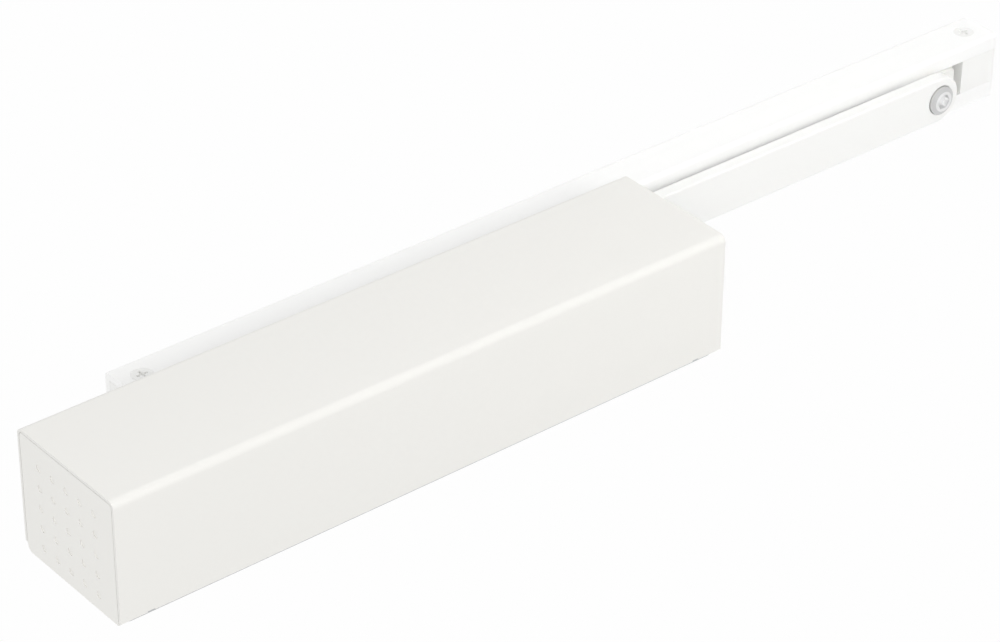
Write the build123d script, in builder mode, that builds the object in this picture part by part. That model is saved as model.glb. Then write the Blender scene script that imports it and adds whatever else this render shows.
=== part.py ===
from build123d import *
from math import atan2, cos, pi, sin, sqrt
import os

os.makedirs("parts", exist_ok=True)

# Overhead door closer, cam action with a slide rail, in its mounted position, all sizes in millimetres.
# Y = 0 is the door face that it is fixed to, and it stands out of that face toward -Y.
# +Z runs up along the spindle, +X toward the slider, and the origin is the middle of the plate's door holes.
# A size called depth is measured from the door face outward.

# Cam, rollers and their pins
cam_lift = 10.0  # travel of both pistons in half a turn of the spindle
cam_thickness = 12.0
cam_gap = 0.04  # running gap between the cam and each roller
roller_radius = 7.5
roller_near = 14.5  # from the spindle's axis to a roller's when the cam's hollow faces it
roller_pin_radius = 3.0
cam_side_gap = 0.15  # between the cam and each cheek of a piston
roller_side_gap = 0.25  # between a roller and each cheek
cheek_end_wall = 1.5  # metal between a roller pin and the end of the cheek
cheek_gap = 1.0  # between the cheek's end and the spindle

# Bores and running fits
bore_radius = 17.5
running_gap = 0.04  # radial clearance of whatever turns or slides in a bore
seat_gap = 0.02  # radial clearance of whatever is pressed or screwed into a bore
chamber_gap = 0.8  # between the cam's tip and the chamber around it

# Housing walls
back_wall = 3.2
chamber_wall = 4.0
tube_wall = 4.5
bearing_ledge = 0.2
bearing_height = 7.0
bearing_wall = 4.0
bearing_roof = 1.8
chamber_block_length = 46.0
foot_height = 40.0
lug_length = 16.0  # beyond the tube, at each end
lug_root = 5.0  # of the lug inside the tube's end
lug_thickness = 10.0
boss_wall = 3.5
boss_rise = 3.1
casting_radius = 3.0
chamber_roof_gap = 2.0  # of the cam chamber over the cam
cap_sunk = 0.4  # of the lower bearing cap in the housing
spanner_pitch_radius = 14.0
spanner_hole_radius = 1.5
spanner_hole_depth = 1.2
screw_hole_gap = 0.25

# Mounting plate and its screws
plate_thickness = 3.5
plate_side_gap = 0.4  # between the plate's long edges and the cover
plate_end_gap = 0.6  # between the plate and each end cap
plate_hole_radius = 2.75
plate_sink_radius = 5.0
plate_hole_spacing_x = 200.0
plate_hole_spacing_z = 32.0
plate_corner_radius = 3.0
housing_screw_radius = 2.5
housing_screw_head_radius = 4.25
housing_screw_head_height = 5.0
housing_screw_socket_flats = 4.0
housing_screw_inset_x = 8.0  # from the housing's end
housing_screw_inset_z = 8.5  # from the housing's side
socket_depth = 2.5
deep_socket_depth = 5.0  # of the two sockets in the ends of the bore

# Cover
cover_length = 280.0
cover_wall = 1.2
cover_front_gap = 3.8  # between the valve rib and the cover
cover_side_gap = 2.0  # between the housing's sides and the cover
cover_edge_radius = 3.0
cover_corner_radius = 3.0  # of the side walls' corners at the door
cover_back_gap = 1.7  # between the door and the shell's back edge
cover_notch_gap = 0.8
pry_notch_inset = 13.0
pry_notch_length = 3.0
pry_notch_depth = 0.5
cap_thickness = 2.0
cap_back_gap = 0.4  # between the door and an end cap
cap_seam = 0.2  # open seam between an end cap and the shell
cap_skirt_length = 9.0
cap_skirt_wall = 1.4
cap_room = 4.0  # between an end cap and the housing
cap_slide_gap = 0.3  # between the cap's skirt and the plate
dimple_radius = 1.5
dimple_depth = 0.35
dimple_pitch = 8.65
dimple_count = 5

# Spindle and arm
spindle_x = 30.0
square_shoulder = 0.5  # the journal's rim left around the square
square_corner = 0.6
flank_steps = 30  # of the cam's flank, in half a turn
hub_lift = 1.8  # from the cover to the arm's hub
arm_lift = 11.0  # from the cover to the arm's bar
arm_thickness = 6.0
arm_width = 21.0
arm_reach = 300.7  # along X, from the spindle to the pivot bolt
arm_neck_length = 62.0
arm_edge = 0.6
hub_radius = 14.0
arm_screw_radius = 3.0
arm_screw_head_radius = 6.0
arm_screw_length = 12.0
arm_screw_thread = 7.0  # in the spindle
arm_screw_socket_flats = 4.0
screw_head_sunk = 0.1
head_rim = 1.0
arm_roof = 2.8  # the arm's metal over the spindle's square
spindle_end_gap = 0.3

# Pivot bolt and slider
bolt_radius = 4.0
bolt_head_radius = 6.5
bolt_head_height = 5.0
bolt_head_proud = 2.0
bolt_socket_flats = 6.0
bolt_rim_width = 2.0
bolt_rim_height = 1.0
bolt_end_edge = 0.6
bolt_play = 0.1  # along the bolt, over and under the arm
bush_wall = 1.6
bush_flange_wall = 3.6
bush_flange_height = 1.2
slider_length = 36.0
slider_neck_length = 30.0
slider_gap = 0.2  # between the slider and each wall of the rail
slider_corner = 2.0
slider_relief_x = 13.0
slider_relief_length = 16.0
slider_relief_width = 4.0
slider_relief_depth = 8.0
slider_floor_wall = 2.0
nut_flats = 13.0
nut_height = 6.5
bolt_end = 1.0  # of the bolt beyond its nut

# Slide rail
rail_length = 449.5
rail_depth = 30.0
rail_height = 20.0
rail_lift = 2.4  # from the arm to the rail
rail_wall = 2.8
rail_slot = 16.0
rail_edge_radius = 1.5
rail_plug_length = 19.5
rail_plug_gap = 0.1
rail_stop_gap = 3.3  # between the slider at rest and the right plug
rail_hole_radius = 2.75
rail_hole_inset = 9.75
rail_plug_hole_gap = 0.6  # between a rail plug's hole and the rail's, all round
rail_sink_radius = 4.5

# Pistons
closing_crown = 25.0
damping_crown = 22.0
slot_floor_gap = 0.6
crown_recess_radius = 9.5
crown_recess_depth = 6.0
check_valve_radius = 3.0
check_valve_length = 8.0
check_valve_bore = 1.2
check_seat_length = 2.0
check_poppet_radius = 1.8
check_poppet_length = 3.0
check_poppet_lift = 0.3  # of the poppet from its seat
pin_sunk = 0.3
piston_groove_width = 2.0
piston_groove_depth = 0.8
piston_groove_x = 10.0  # from the slot's floor

# Springs
spring_wire = 2.6  # radius of the main spring's wire
spring_wall_gap = 1.4
spring_turns = 8
spring_sides = 6  # of both springs' wire
spring_end_gap = 0.1
return_wire = 1.1
return_coil_radius = 8.0
return_turns = 6
coil_closing = 0.28  # share of the pitch that the end turns give up to the middle ones
gap_steps = 24  # points to a turn where a spring's gap to itself is measured

# Spring seat, adjusting screw and end plugs
end_plug_length = 10.0
seat_thickness = 5.0
seat_rest_gap = 6.0  # between the spring plug and the seat, half tightened
seat_hub_radius = 9.0
seat_hub_length = 8.0
adjuster_radius = 4.0
adjuster_collar_radius = 7.5
adjuster_collar_length = 2.5
adjuster_length = 30.0
adjuster_socket_flats = 5.0
adjuster_sunk = 1.0
plug_groove_x = 4.0  # from the tube's end to the seal
plug_groove_gap = 0.15
plug_socket_flats = 10.0
plug_seal_width = 2.0

# Regulating valves
valve_radius = 3.5
valve_length = 6.4
valve_inset = 0.6  # of the valve's head below the rib's face
valve_tip_radius = 1.3
valve_tip_length = 2.2
valve_height = -12.0  # of the row of valves below the bore's axis
valve_row_inset = 27.0  # of the last valve from the housing's end
valve_pitch = 15.0
valve_rib_rise = 1.5  # of the rib's face over the tube
valve_rib_margin = 7.5
valve_socket_flats = 2.5

# What follows from those sizes
roller_far = roller_near + cam_lift
cam_rate = cam_lift / pi
roller_room = roller_radius + cam_gap
chamber_radius = roller_far - roller_radius + chamber_gap
widest_bore = max(bore_radius, chamber_radius)
spindle_depth = plate_thickness + back_wall + widest_bore
tube_radius = bore_radius + tube_wall
block_depth = spindle_depth + chamber_radius + chamber_wall
rib_depth = spindle_depth + tube_radius + valve_rib_rise
cover_depth = rib_depth + cover_front_gap + cover_wall
bearing_floor = widest_bore + bearing_ledge
housing_half_height = bearing_floor + bearing_height + bearing_roof
cover_top = housing_half_height + cover_side_gap + cover_wall
cover_inside = cover_top - cover_wall
cover_end = cover_length / 2
housing_end = cover_end - cap_thickness - cap_room
plate_end = cover_end - cap_thickness - plate_end_gap
journal_radius = roller_near - roller_pin_radius - cheek_end_wall - cheek_gap
bearing_radius = journal_radius + bearing_wall
boss_radius = bearing_radius + boss_wall
boss_top = housing_half_height + boss_rise
square_side = (journal_radius - square_shoulder) * sqrt(2)
hub_bottom = cover_top + hub_lift
arm_bottom = cover_top + arm_lift
arm_top = arm_bottom + arm_thickness
square_top = arm_top - arm_roof - spindle_end_gap
rail_bottom = arm_top + rail_lift
rail_top = rail_bottom + rail_height
rail_middle_depth = rail_depth / 2
pivot_x = spindle_x + arm_reach
rail_right = pivot_x + slider_length / 2 + rail_stop_gap + rail_plug_length
rail_left = rail_right - rail_length
rail_middle = (rail_left + rail_right) / 2
rail_hole_spacing = rail_length - 2 * rail_hole_inset
rail_cavity_depth = rail_depth - 2 * rail_wall
cheek_reach = roller_pin_radius + cheek_end_wall
cheek_slot = cam_thickness / 2 + cam_side_gap
roller_length = 2 * (cheek_slot - roller_side_gap)
closing_roller_x = spindle_x - roller_near
damping_roller_x = spindle_x + roller_far
slot_floor = roller_radius + slot_floor_gap
closing_crown_x = closing_roller_x - slot_floor - closing_crown
damping_crown_x = damping_roller_x + slot_floor + damping_crown
tube_end = housing_end - lug_length
plug_left_x = -tube_end + end_plug_length
plug_right_x = tube_end - end_plug_length
seat_left_x = plug_left_x + seat_rest_gap
seat_right_x = seat_left_x + seat_thickness
spring_coil_radius = bore_radius - spring_wall_gap - spring_wire
screw_x = housing_end - housing_screw_inset_x
screw_z = housing_half_height - housing_screw_inset_z
valve_last_x = housing_end - valve_row_inset
valve_xs = [valve_last_x + n * valve_pitch for n in range(-3, 1)]
valve_row_x = (valve_xs[0] + valve_xs[-1]) / 2
slider_floor = rail_bottom + rail_wall + slider_gap
slider_roof = rail_top - rail_wall - slider_gap
nut_bottom = slider_floor + slider_floor_wall
bolt_head_bottom = arm_bottom - bolt_head_proud
bolt_head_top = bolt_head_bottom + bolt_head_height
bush_bottom = bolt_head_top + bolt_play
bush_radius = bolt_radius + running_gap + bush_wall
flange_top = arm_top + bush_flange_height


def on_spindle(z):
    """A plane across the spindle at a height."""
    return Plane(origin=(spindle_x, -spindle_depth, z))


def on_pivot(z):
    """A plane across the pivot bolt at a height."""
    return Plane(origin=(pivot_x, -rail_middle_depth, z))


def on_bore(x, side=1):
    """A plane across the long bore, facing +X or, with side -1, facing -X."""
    return Plane(origin=(x, -spindle_depth, 0), x_dir=(0, 1, 0), z_dir=(side, 0, 0))


def on_end(side, out):
    """The plane of the cover's right (side +1) or left (-1) end, moved outward; its first axis is +Y."""
    return Plane(origin=(side * (cover_end + out), 0, 0), x_dir=(0, 1, 0), z_dir=(side, 0, 0))


def cam_point(angle):
    """The point of the cam's flank that a roller touches, by its angle from the cam's tip."""
    pitch = roller_far - cam_rate * angle
    slant = roller_room / sqrt(pitch**2 + cam_rate**2)
    x = pitch * cos(angle) - slant * (pitch * cos(angle) - cam_rate * sin(angle))
    y = pitch * sin(angle) - slant * (pitch * sin(angle) + cam_rate * cos(angle))
    return (x, y)


# Mounting plate: flat steel, four countersunk holes for the door, four tapped ones for the housing
with BuildPart() as mounting_plate:
    with BuildSketch(Plane.XZ):
        RectangleRounded(2 * plate_end, 2 * (cover_inside - plate_side_gap), plate_corner_radius)
    extrude(amount=plate_thickness)
    with Locations(Plane.XZ.offset(plate_thickness)):
        with GridLocations(plate_hole_spacing_x, plate_hole_spacing_z, 2, 2):
            CounterSinkHole(plate_hole_radius, plate_sink_radius, counter_sink_angle=90)
        with GridLocations(2 * screw_x, 2 * screw_z, 2, 2):
            Hole(housing_screw_radius + seat_gap)
mounting_plate.part.label = "mounting_plate"
export_step(mounting_plate.part, "parts/mounting_plate.step")

# Housing screws: four socket screws through the housing's lugs into the plate
with BuildPart() as housing_screws:
    with BuildSketch(Plane.XZ):
        with GridLocations(2 * screw_x, 2 * screw_z, 2, 2):
            Circle(housing_screw_radius)
    extrude(amount=plate_thickness + lug_thickness)
    with BuildSketch(Plane.XZ.offset(plate_thickness + lug_thickness)):
        with GridLocations(2 * screw_x, 2 * screw_z, 2, 2):
            Circle(housing_screw_head_radius)
    extrude(amount=housing_screw_head_height)
    with BuildSketch(Plane.XZ.offset(plate_thickness + lug_thickness + housing_screw_head_height)):
        with GridLocations(2 * screw_x, 2 * screw_z, 2, 2):
            RegularPolygon(housing_screw_socket_flats / 2, 6, major_radius=False)
    extrude(amount=-socket_depth, mode=Mode.SUBTRACT)
housing_screws.part.label = "housing_screws"
export_step(housing_screws.part, "parts/housing_screws.step")

# Closer housing: one casting with the long bore, the cam chamber, the bearing seats and the valve rib
with BuildPart() as closer_housing:
    with BuildSketch(Plane.YZ.offset(-tube_end)):
        with Locations((-spindle_depth, 0)):
            Circle(tube_radius)
            Rectangle(spindle_depth - plate_thickness, foot_height, align=(Align.MIN, Align.CENTER))
        with Locations((-plate_thickness, 0)):
            Rectangle(tube_radius, 2 * tube_radius, align=(Align.MIN, Align.CENTER), mode=Mode.SUBTRACT)
    extrude(amount=2 * tube_end)
    with BuildSketch(Plane.YZ.offset(spindle_x - chamber_block_length / 2)) as block:
        with Locations((-plate_thickness, 0)):
            Rectangle(block_depth - plate_thickness, 2 * housing_half_height, align=(Align.MAX, Align.CENTER))
        fillet(block.vertices().group_by(Axis.X)[0], casting_radius)
    extrude(amount=chamber_block_length)
    with BuildSketch(Plane.XZ.offset(plate_thickness)) as lugs:
        with Locations((housing_end, 0), (-housing_end, 0)):
            Rectangle(2 * (lug_length + lug_root), 2 * housing_half_height)
        Rectangle(2 * housing_end, 2 * housing_half_height, mode=Mode.INTERSECT)
        fillet(lugs.vertices(), casting_radius)
    extrude(amount=lug_thickness)
    with BuildSketch(Plane.XZ.offset(spindle_depth)) as rib:
        with Locations((valve_row_x, valve_height)):
            RectangleRounded(
                valve_xs[-1] - valve_xs[0] + 2 * valve_rib_margin, 2 * valve_rib_margin, casting_radius
            )
    extrude(amount=rib_depth - spindle_depth)
    with BuildSketch(on_spindle(housing_half_height)):
        Circle(boss_radius)
    extrude(amount=boss_rise)
    with BuildSketch(on_bore(-housing_end)):
        Circle(bore_radius)
    extrude(amount=2 * housing_end, mode=Mode.SUBTRACT)
    with BuildSketch(on_spindle(-housing_half_height)):
        Circle(chamber_radius)
    extrude(amount=housing_half_height + cam_thickness / 2 + chamber_roof_gap, mode=Mode.SUBTRACT)
    with BuildSketch(on_spindle(0)):
        Circle(journal_radius + chamber_gap)
    extrude(amount=bearing_floor, mode=Mode.SUBTRACT)
    with BuildSketch(on_spindle(bearing_floor)):
        Circle(bearing_radius + seat_gap)
    extrude(amount=boss_top - bearing_floor, mode=Mode.SUBTRACT)
    with Locations(Plane.XZ.offset(plate_thickness + lug_thickness)):
        with GridLocations(2 * screw_x, 2 * screw_z, 2, 2):
            Hole(housing_screw_radius + screw_hole_gap, depth=lug_thickness)
    for x in valve_xs:
        with BuildSketch(Plane.XZ.offset(rib_depth)):
            with Locations((x, valve_height)):
                Circle(valve_radius + running_gap)
        extrude(amount=-valve_inset - valve_length, mode=Mode.SUBTRACT)
        with BuildSketch(Plane.XZ.offset(rib_depth)):
            with Locations((x, valve_height)):
                Circle(valve_tip_radius + running_gap)
        extrude(amount=spindle_depth - rib_depth, mode=Mode.SUBTRACT)
closer_housing.part.label = "closer_housing"
export_step(closer_housing.part, "parts/closer_housing.step")

# Upper bearing: a bush pressed into the housing under the seal
with BuildPart() as upper_bearing:
    with BuildSketch(on_spindle(bearing_floor)):
        Circle(bearing_radius)
        Circle(journal_radius + running_gap, mode=Mode.SUBTRACT)
    extrude(amount=bearing_height)
upper_bearing.part.label = "upper_bearing"
export_step(upper_bearing.part, "parts/upper_bearing.step")

# Spindle seal: fills the seat over the upper bearing, up to the boss's rim
with BuildPart() as spindle_seal:
    with BuildSketch(on_spindle(bearing_floor + bearing_height)):
        Circle(bearing_radius)
        Circle(journal_radius + running_gap, mode=Mode.SUBTRACT)
    extrude(amount=boss_top - bearing_floor - bearing_height)
spindle_seal.part.label = "spindle_seal"
export_step(spindle_seal.part, "parts/spindle_seal.step")

# Lower bearing cap: screws into the foot of the cam chamber, with two holes for a pin spanner
with BuildPart() as lower_bearing_cap:
    with BuildSketch(on_spindle(-housing_half_height + cap_sunk)):
        Circle(chamber_radius - seat_gap)
    extrude(amount=housing_half_height - cap_sunk - bearing_floor)
    with BuildSketch(on_spindle(-bearing_floor)):
        Circle(bearing_radius + seat_gap)
    extrude(amount=-bearing_height, mode=Mode.SUBTRACT)
    with BuildSketch(on_spindle(-housing_half_height + cap_sunk)):
        with PolarLocations(spanner_pitch_radius, 2):
            Circle(spanner_hole_radius)
    extrude(amount=spanner_hole_depth, mode=Mode.SUBTRACT)
lower_bearing_cap.part.label = "lower_bearing_cap"
export_step(lower_bearing_cap.part, "parts/lower_bearing_cap.step")

# Lower bearing: the same bush, in the cap
with BuildPart() as lower_bearing:
    with BuildSketch(on_spindle(-bearing_floor - bearing_height)):
        Circle(bearing_radius)
        Circle(journal_radius + running_gap, mode=Mode.SUBTRACT)
    extrude(amount=bearing_height)
lower_bearing.part.label = "lower_bearing"
export_step(lower_bearing.part, "parts/lower_bearing.step")

# Spindle: two journals, the heart-shaped cam between them and the square that carries the arm
with BuildPart() as spindle:
    with BuildSketch(on_spindle(-bearing_floor - bearing_height + running_gap)):
        Circle(journal_radius)
    extrude(amount=bearing_floor + bearing_height - running_gap - cam_thickness / 2)
    with BuildSketch(on_spindle(cam_thickness / 2)):
        Circle(journal_radius)
    extrude(amount=hub_bottom - cam_thickness / 2)
    with BuildSketch(on_spindle(-cam_thickness / 2)) as cam:
        with BuildLine():
            flank = Spline(
                [cam_point(pi * n / flank_steps) for n in range(flank_steps + 1)],
                tangents=[(-cam_rate, roller_far), (cam_rate, -roller_near)],
            )
            hollow = CenterArc((-roller_near, 0), roller_room, 0, atan2(cam_rate, roller_near) * 180 / pi)
            Polyline(hollow @ 0, ((hollow @ 0).X, (flank @ 0).Y), flank @ 0)
        make_face()
        split(bisect_by=Plane.ZX)
        mirror(about=Plane.XZ)
    extrude(amount=cam_thickness)
    with BuildSketch(on_spindle(hub_bottom)):
        RectangleRounded(square_side, square_side, square_corner)
    extrude(amount=square_top - hub_bottom)
    with Locations(on_spindle(square_top)):
        Hole(arm_screw_radius + seat_gap, depth=arm_screw_length)
spindle.part.label = "spindle"
export_step(spindle.part, "parts/spindle.step")

# Arm: a flat bar with a cranked neck, a hub with a square hole and an eye for the pivot bolt
with BuildPart() as arm:
    with BuildSketch(Plane.XY.offset(arm_bottom)):
        with BuildLine():
            hub_back = (spindle_x, -spindle_depth + hub_radius)
            hub_front = (spindle_x, -spindle_depth - hub_radius)
            ThreePointArc(hub_back, (spindle_x - hub_radius, -spindle_depth), hub_front)
            neck_front = (spindle_x + arm_neck_length, -rail_middle_depth - arm_width / 2)
            neck_back = (spindle_x + arm_neck_length, -rail_middle_depth + arm_width / 2)
            Spline(hub_front, neck_front, tangents=[(1, 0), (1, 0)])
            Line(neck_front, (pivot_x, -rail_middle_depth - arm_width / 2))
            ThreePointArc(
                (pivot_x, -rail_middle_depth - arm_width / 2),
                (pivot_x + arm_width / 2, -rail_middle_depth),
                (pivot_x, -rail_middle_depth + arm_width / 2),
            )
            Line((pivot_x, -rail_middle_depth + arm_width / 2), neck_back)
            Spline(neck_back, hub_back, tangents=[(-1, 0), (-1, 0)])
        make_face()
    extrude(amount=arm_thickness)
    chamfer(arm.edges().group_by(Axis.Z)[0] + arm.edges().group_by(Axis.Z)[-1], arm_edge)
    with BuildSketch(on_spindle(hub_bottom)):
        Circle(hub_radius - arm_edge)
    extrude(amount=arm_bottom - hub_bottom + arm_edge)
    with BuildSketch(on_spindle(hub_bottom)):
        RectangleRounded(square_side + 2 * seat_gap, square_side + 2 * seat_gap, square_corner)
    extrude(amount=arm_top - arm_roof - hub_bottom, mode=Mode.SUBTRACT)
    with Locations(on_spindle(arm_top)):
        CounterSinkHole(
            arm_screw_radius + screw_hole_gap,
            arm_screw_head_radius,
            depth=arm_thickness,
            counter_sink_angle=90,
        )
    with BuildSketch(on_pivot(arm_bottom)):
        Circle(bolt_head_radius + screw_hole_gap)
    extrude(amount=bush_bottom - arm_bottom, mode=Mode.SUBTRACT)
    with BuildSketch(on_pivot(arm_bottom)):
        Circle(bush_radius + seat_gap)
    extrude(amount=arm_thickness, mode=Mode.SUBTRACT)
arm.part.label = "arm"
export_step(arm.part, "parts/arm.step")

# Arm screw: countersunk, holds the arm down on the spindle's square
with BuildPart() as arm_screw:
    with BuildSketch(on_spindle(arm_top - screw_head_sunk)):
        Circle(arm_screw_head_radius - screw_head_sunk)
    with BuildSketch(on_spindle(arm_top - screw_head_sunk - arm_screw_head_radius + arm_screw_radius)):
        Circle(arm_screw_radius - screw_head_sunk)
    loft()
    with BuildSketch(on_spindle(arm_top - screw_head_sunk - head_rim)):
        Circle(arm_screw_radius)
    extrude(amount=square_top - arm_top - arm_screw_thread)
    with BuildSketch(on_spindle(arm_top - screw_head_sunk)):
        RegularPolygon(arm_screw_socket_flats / 2, 6, major_radius=False)
    extrude(amount=-socket_depth, mode=Mode.SUBTRACT)
arm_screw.part.label = "arm_screw"
export_step(arm_screw.part, "parts/arm_screw.step")

# Pivot bush: flanged, pressed into the arm's eye from above
with BuildPart() as pivot_bush:
    with BuildSketch(on_pivot(bush_bottom)):
        Circle(bush_radius)
    extrude(amount=arm_top - bush_bottom)
    with BuildSketch(on_pivot(arm_top)):
        Circle(bolt_radius + bush_flange_wall)
    extrude(amount=bush_flange_height)
    with BuildSketch(on_pivot(bush_bottom)):
        Circle(bolt_radius + running_gap)
    extrude(amount=flange_top - bush_bottom, mode=Mode.SUBTRACT)
pivot_bush.part.label = "pivot_bush"
export_step(pivot_bush.part, "parts/pivot_bush.step")

# Pivot bolt: a low socket head let into the arm, its shank up through the bush into the slider's nut
with BuildPart() as pivot_bolt:
    with BuildSketch(on_pivot(bolt_head_bottom)):
        Circle(bolt_head_radius - bolt_rim_width)
    with BuildSketch(on_pivot(bolt_head_bottom + bolt_rim_height)):
        Circle(bolt_head_radius)
    loft()
    with BuildSketch(on_pivot(bolt_head_bottom + bolt_rim_height)):
        Circle(bolt_head_radius)
    extrude(amount=bolt_head_height - bolt_rim_height)
    with BuildSketch(on_pivot(bolt_head_top)):
        Circle(bolt_radius)
    extrude(amount=nut_bottom + nut_height + bolt_end - bolt_head_top)
    chamfer(pivot_bolt.edges().group_by(Axis.Z)[-1], bolt_end_edge)
    with BuildSketch(on_pivot(bolt_head_bottom)):
        RegularPolygon(bolt_socket_flats / 2, 6, major_radius=False)
    extrude(amount=socket_depth, mode=Mode.SUBTRACT)
pivot_bolt.part.label = "pivot_bolt"
export_step(pivot_bolt.part, "parts/pivot_bolt.step")

# Slider block: a moulded shoe in the rail's hollow, its neck down through the slot
with BuildPart() as slider_block:
    with BuildSketch(on_pivot(slider_floor)):
        RectangleRounded(slider_length, rail_cavity_depth - 2 * slider_gap, slider_corner)
    extrude(amount=slider_roof - slider_floor)
    with BuildSketch(on_pivot(flange_top + bolt_play)):
        RectangleRounded(slider_neck_length, rail_slot - 2 * slider_gap, slider_corner)
    extrude(amount=slider_floor - flange_top - bolt_play)
    with BuildSketch(on_pivot(slider_roof)):
        with Locations((slider_relief_x, 0), (-slider_relief_x, 0)):
            SlotOverall(slider_relief_length, slider_relief_width, rotation=90)
    extrude(amount=-slider_relief_depth, mode=Mode.SUBTRACT)
    with BuildSketch(on_pivot(nut_bottom)):
        RegularPolygon(nut_flats / 2 + seat_gap, 6, major_radius=False)
    extrude(amount=slider_roof - nut_bottom, mode=Mode.SUBTRACT)
    with BuildSketch(on_pivot(flange_top)):
        Circle(bolt_radius + seat_gap)
    extrude(amount=nut_bottom - flange_top, mode=Mode.SUBTRACT)
slider_block.part.label = "slider_block"
export_step(slider_block.part, "parts/slider_block.step")

# Slider nut: sits in the block's pocket
with BuildPart() as slider_nut:
    with BuildSketch(on_pivot(nut_bottom)):
        RegularPolygon(nut_flats / 2, 6, major_radius=False)
        Circle(bolt_radius + seat_gap, mode=Mode.SUBTRACT)
    extrude(amount=nut_height)
slider_nut.part.label = "slider_nut"
export_step(slider_nut.part, "parts/slider_nut.step")

# Slide rail: an extrusion, open underneath, with a countersunk fixing hole near each end
with BuildPart() as slide_rail:
    with BuildSketch(Plane.YZ.offset(rail_left)) as profile:
        with Locations((0, rail_bottom)):
            Rectangle(rail_depth, rail_height, align=(Align.MAX, Align.MIN))
        fillet(profile.vertices().group_by(Axis.X)[0], rail_edge_radius)
        with Locations((-rail_middle_depth, rail_bottom + rail_wall)):
            Rectangle(
                rail_cavity_depth,
                rail_height - 2 * rail_wall,
                align=(Align.CENTER, Align.MIN),
                mode=Mode.SUBTRACT,
            )
        with Locations((-rail_middle_depth, rail_bottom)):
            Rectangle(rail_slot, 2 * rail_wall, align=(Align.CENTER, Align.CENTER), mode=Mode.SUBTRACT)
    extrude(amount=rail_length)
    with Locations(Plane.XZ.offset(rail_depth)):
        with Locations((rail_middle, rail_bottom + rail_height / 2)):
            with GridLocations(rail_hole_spacing, 1, 2, 1):
                CounterSinkHole(rail_hole_radius, rail_sink_radius, depth=rail_depth, counter_sink_angle=90)
slide_rail.part.label = "slide_rail"
export_step(slide_rail.part, "parts/slide_rail.step")


def rail_plug(outer_x, side):
    """A moulded plug in the rail's end; side is +1 at the right end and -1 at the left."""
    with BuildPart() as plug:
        with BuildSketch(Plane.YZ.offset(outer_x)):
            with Locations((-rail_middle_depth, rail_bottom + rail_wall + rail_plug_gap)):
                Rectangle(
                    rail_cavity_depth - 2 * rail_plug_gap,
                    rail_height - 2 * rail_wall - 2 * rail_plug_gap,
                    align=(Align.CENTER, Align.MIN),
                )
            with Locations((-rail_middle_depth, rail_bottom)):
                Rectangle(rail_slot - 2 * rail_plug_gap, 2 * rail_wall, align=(Align.CENTER, Align.MIN))
        extrude(amount=-side * rail_plug_length)
        with BuildSketch(Plane.XZ):
            with Locations((outer_x - side * rail_hole_inset, rail_bottom + rail_height / 2)):
                Circle(rail_hole_radius + rail_plug_hole_gap)
        extrude(amount=rail_depth, mode=Mode.SUBTRACT)
    return plug


rail_plug_left = rail_plug(rail_left, -1)
rail_plug_left.part.label = "rail_plug_left"
export_step(rail_plug_left.part, "parts/rail_plug_left.step")

rail_plug_right = rail_plug(rail_right, 1)
rail_plug_right.part.label = "rail_plug_right"
export_step(rail_plug_right.part, "parts/rail_plug_right.step")

# Cover shell: folded sheet, open at the back and at both ends, notched round the spindle's boss
with BuildPart() as cover_shell:
    with BuildSketch(Plane.YZ.offset(-cover_end)) as channel:
        with Locations((-cover_back_gap, 0)):
            Rectangle(cover_depth - cover_back_gap, 2 * cover_top, align=(Align.MAX, Align.CENTER))
        fillet(channel.vertices().group_by(Axis.X)[0], cover_edge_radius)
        with BuildSketch(mode=Mode.SUBTRACT) as hollow:
            Rectangle(cover_depth - cover_wall, 2 * cover_inside, align=(Align.MAX, Align.CENTER))
            fillet(hollow.vertices().group_by(Axis.X)[0], cover_edge_radius - cover_wall)
    extrude(amount=cover_length)
    side_corners = cover_shell.edges().filter_by(Axis.Z).group_by(Axis.Y)[-1]
    fillet(side_corners.group_by(Axis.Z)[-1], cover_corner_radius)
    with BuildSketch(Plane.XY.offset(cover_inside)):
        with Locations((spindle_x, -spindle_depth)):
            Circle(boss_radius + cover_notch_gap)
            Rectangle(
                2 * (boss_radius + cover_notch_gap), spindle_depth, align=(Align.CENTER, Align.MIN)
            )
    extrude(amount=cover_wall, mode=Mode.SUBTRACT)
    with BuildSketch(Plane.XY.offset(-cover_top)):
        with Locations((cover_end - pry_notch_inset, 0), (-cover_end + pry_notch_inset, 0)):
            Rectangle(pry_notch_length, 2 * (cover_back_gap + pry_notch_depth))
    extrude(amount=cover_wall, mode=Mode.SUBTRACT)
cover_shell.part.label = "cover_shell"
export_step(cover_shell.part, "parts/cover_shell.step")


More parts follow.
